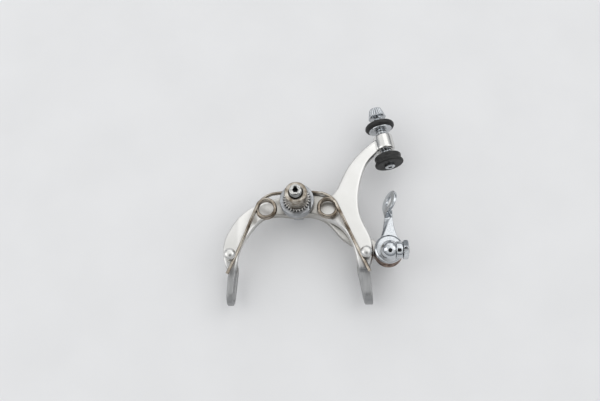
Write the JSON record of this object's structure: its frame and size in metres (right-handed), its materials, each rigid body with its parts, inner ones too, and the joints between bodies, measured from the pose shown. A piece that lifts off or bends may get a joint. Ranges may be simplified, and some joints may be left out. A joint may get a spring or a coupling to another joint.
{
  "type": "rim brake caliper",
  "caption": "Single-pivot side-pull road bicycle brake caliper with return spring, cable adjuster and quick release.",
  "frame": {"origin": "on the mounting bolt's axis, at the mounting face (rear face of the serrated washer)", "axes": "+Z rearward along the mounting bolt, +Y up on the bicycle, +X to the cable side"},
  "size_m": [0.0891, 0.1009, 0.0353],
  "materials": {
    "steel": "worn bright steel",
    "dirty_steel": "grimy zinc-plated steel",
    "chrome": "polished chrome plating",
    "alloy": "satin polished forged aluminium",
    "spring_wire": "tarnished spring wire",
    "brass": "dull brass",
    "tarnished": "brown tarnished metal",
    "rubber": "black rubber"
  },
  "bodies": {
    "bolt": {"mounting_bolt": "steel", "spacer_collar": "dirty_steel", "serrated_washer": "chrome", "spring_block": "alloy", "return_spring": "spring_wire", "rear_brass_washer": "brass", "middle_brass_washer": "brass", "front_washer": "chrome", "front_nut": "chrome", "cap_nut": "chrome"},
    "rear_arm": {"adjuster_arm": "alloy", "right_spring_post": "alloy"},
    "front_arm": {"anchor_arm": "alloy", "left_spring_post": "alloy", "release_stud": "steel", "release_washer": "steel", "release_nut": "chrome"},
    "barrel": {"ferrule_tube": "chrome", "grip_core": "steel", "rubber_grip": "rubber"},
    "wheel_seat": {"seat_washer": "chrome"},
    "wheel": {"adjusting_wheel": "chrome", "wheel_o_ring": "rubber"},
    "release": {"cam_drum": "tarnished", "release_lever": "chrome", "eccentric_pin": "steel"},
    "anchor": {"anchor_body": "chrome"},
    "pinch_slide": {"pinch_collar": "chrome"},
    "pinch": {"pinch_nut": "chrome"}
  },
  "joints": [
    {"name": "rear_arm_pivot", "type": "hinge", "parent": "bolt", "child": "rear_arm", "pos_m": [0, 0, -0.0085], "axis": [0, 0, -1], "range_deg": [0, 8], "stiffness_Nm_per_rad": 0.35, "springref_deg": -20.05, "deforming": ["return_spring"]},
    {"name": "front_arm_pivot", "type": "hinge", "parent": "bolt", "child": "front_arm", "pos_m": [0, 0, -0.014], "axis": [0, 0, 1], "range_deg": [0, 8], "stiffness_Nm_per_rad": 0.35, "springref_deg": -20.05},
    {"name": "barrel_slide", "type": "slide", "parent": "rear_arm", "child": "barrel", "axis": [-0.1994, 0.9799, 0], "range_m": [-0.0015, 0.001]},
    {"name": "wheel_travel", "type": "slide", "parent": "barrel", "child": "wheel_seat", "axis": [-0.1994, 0.9799, 0], "range_m": [0, 0.002]},
    {"name": "wheel_turn", "type": "hinge", "parent": "wheel_seat", "child": "wheel", "pos_m": [0.04183, 0.04102, -0.0085], "axis": [-0.1994, 0.9799, 0], "range_deg": [0, 905]},
    {"name": "release_turn", "type": "hinge", "parent": "front_arm", "child": "release", "pos_m": [0.0436, -0.0251, -0.003], "axis": [0, 0, -1], "range_deg": [0, 120]},
    {"name": "anchor_swivel", "type": "hinge", "parent": "release", "child": "anchor", "pos_m": [0.0436, -0.0276, 0.0035], "axis": [0, 0, -1], "range_deg": [-125, 125]},
    {"name": "pinch_travel", "type": "slide", "parent": "anchor", "child": "pinch_slide", "axis": [1, 0, 0], "range_m": [0, 0.0016]},
    {"name": "pinch_turn", "type": "hinge", "parent": "pinch_slide", "child": "pinch", "pos_m": [0.0514, -0.0276, 0.0035], "axis": [1, 0, 0], "range_deg": [0, 725]}
  ],
  "couplings": [
    {"joint": "front_arm_pivot", "follows": "rear_arm_pivot", "ratio": 1},
    {"joint": "wheel_turn", "follows": "wheel_travel", "rad_per_m": 7854},
    {"joint": "anchor_swivel", "follows": "release_turn", "ratio": -1},
    {"joint": "pinch_turn", "follows": "pinch_travel", "rad_per_m": 7854}
  ]
}
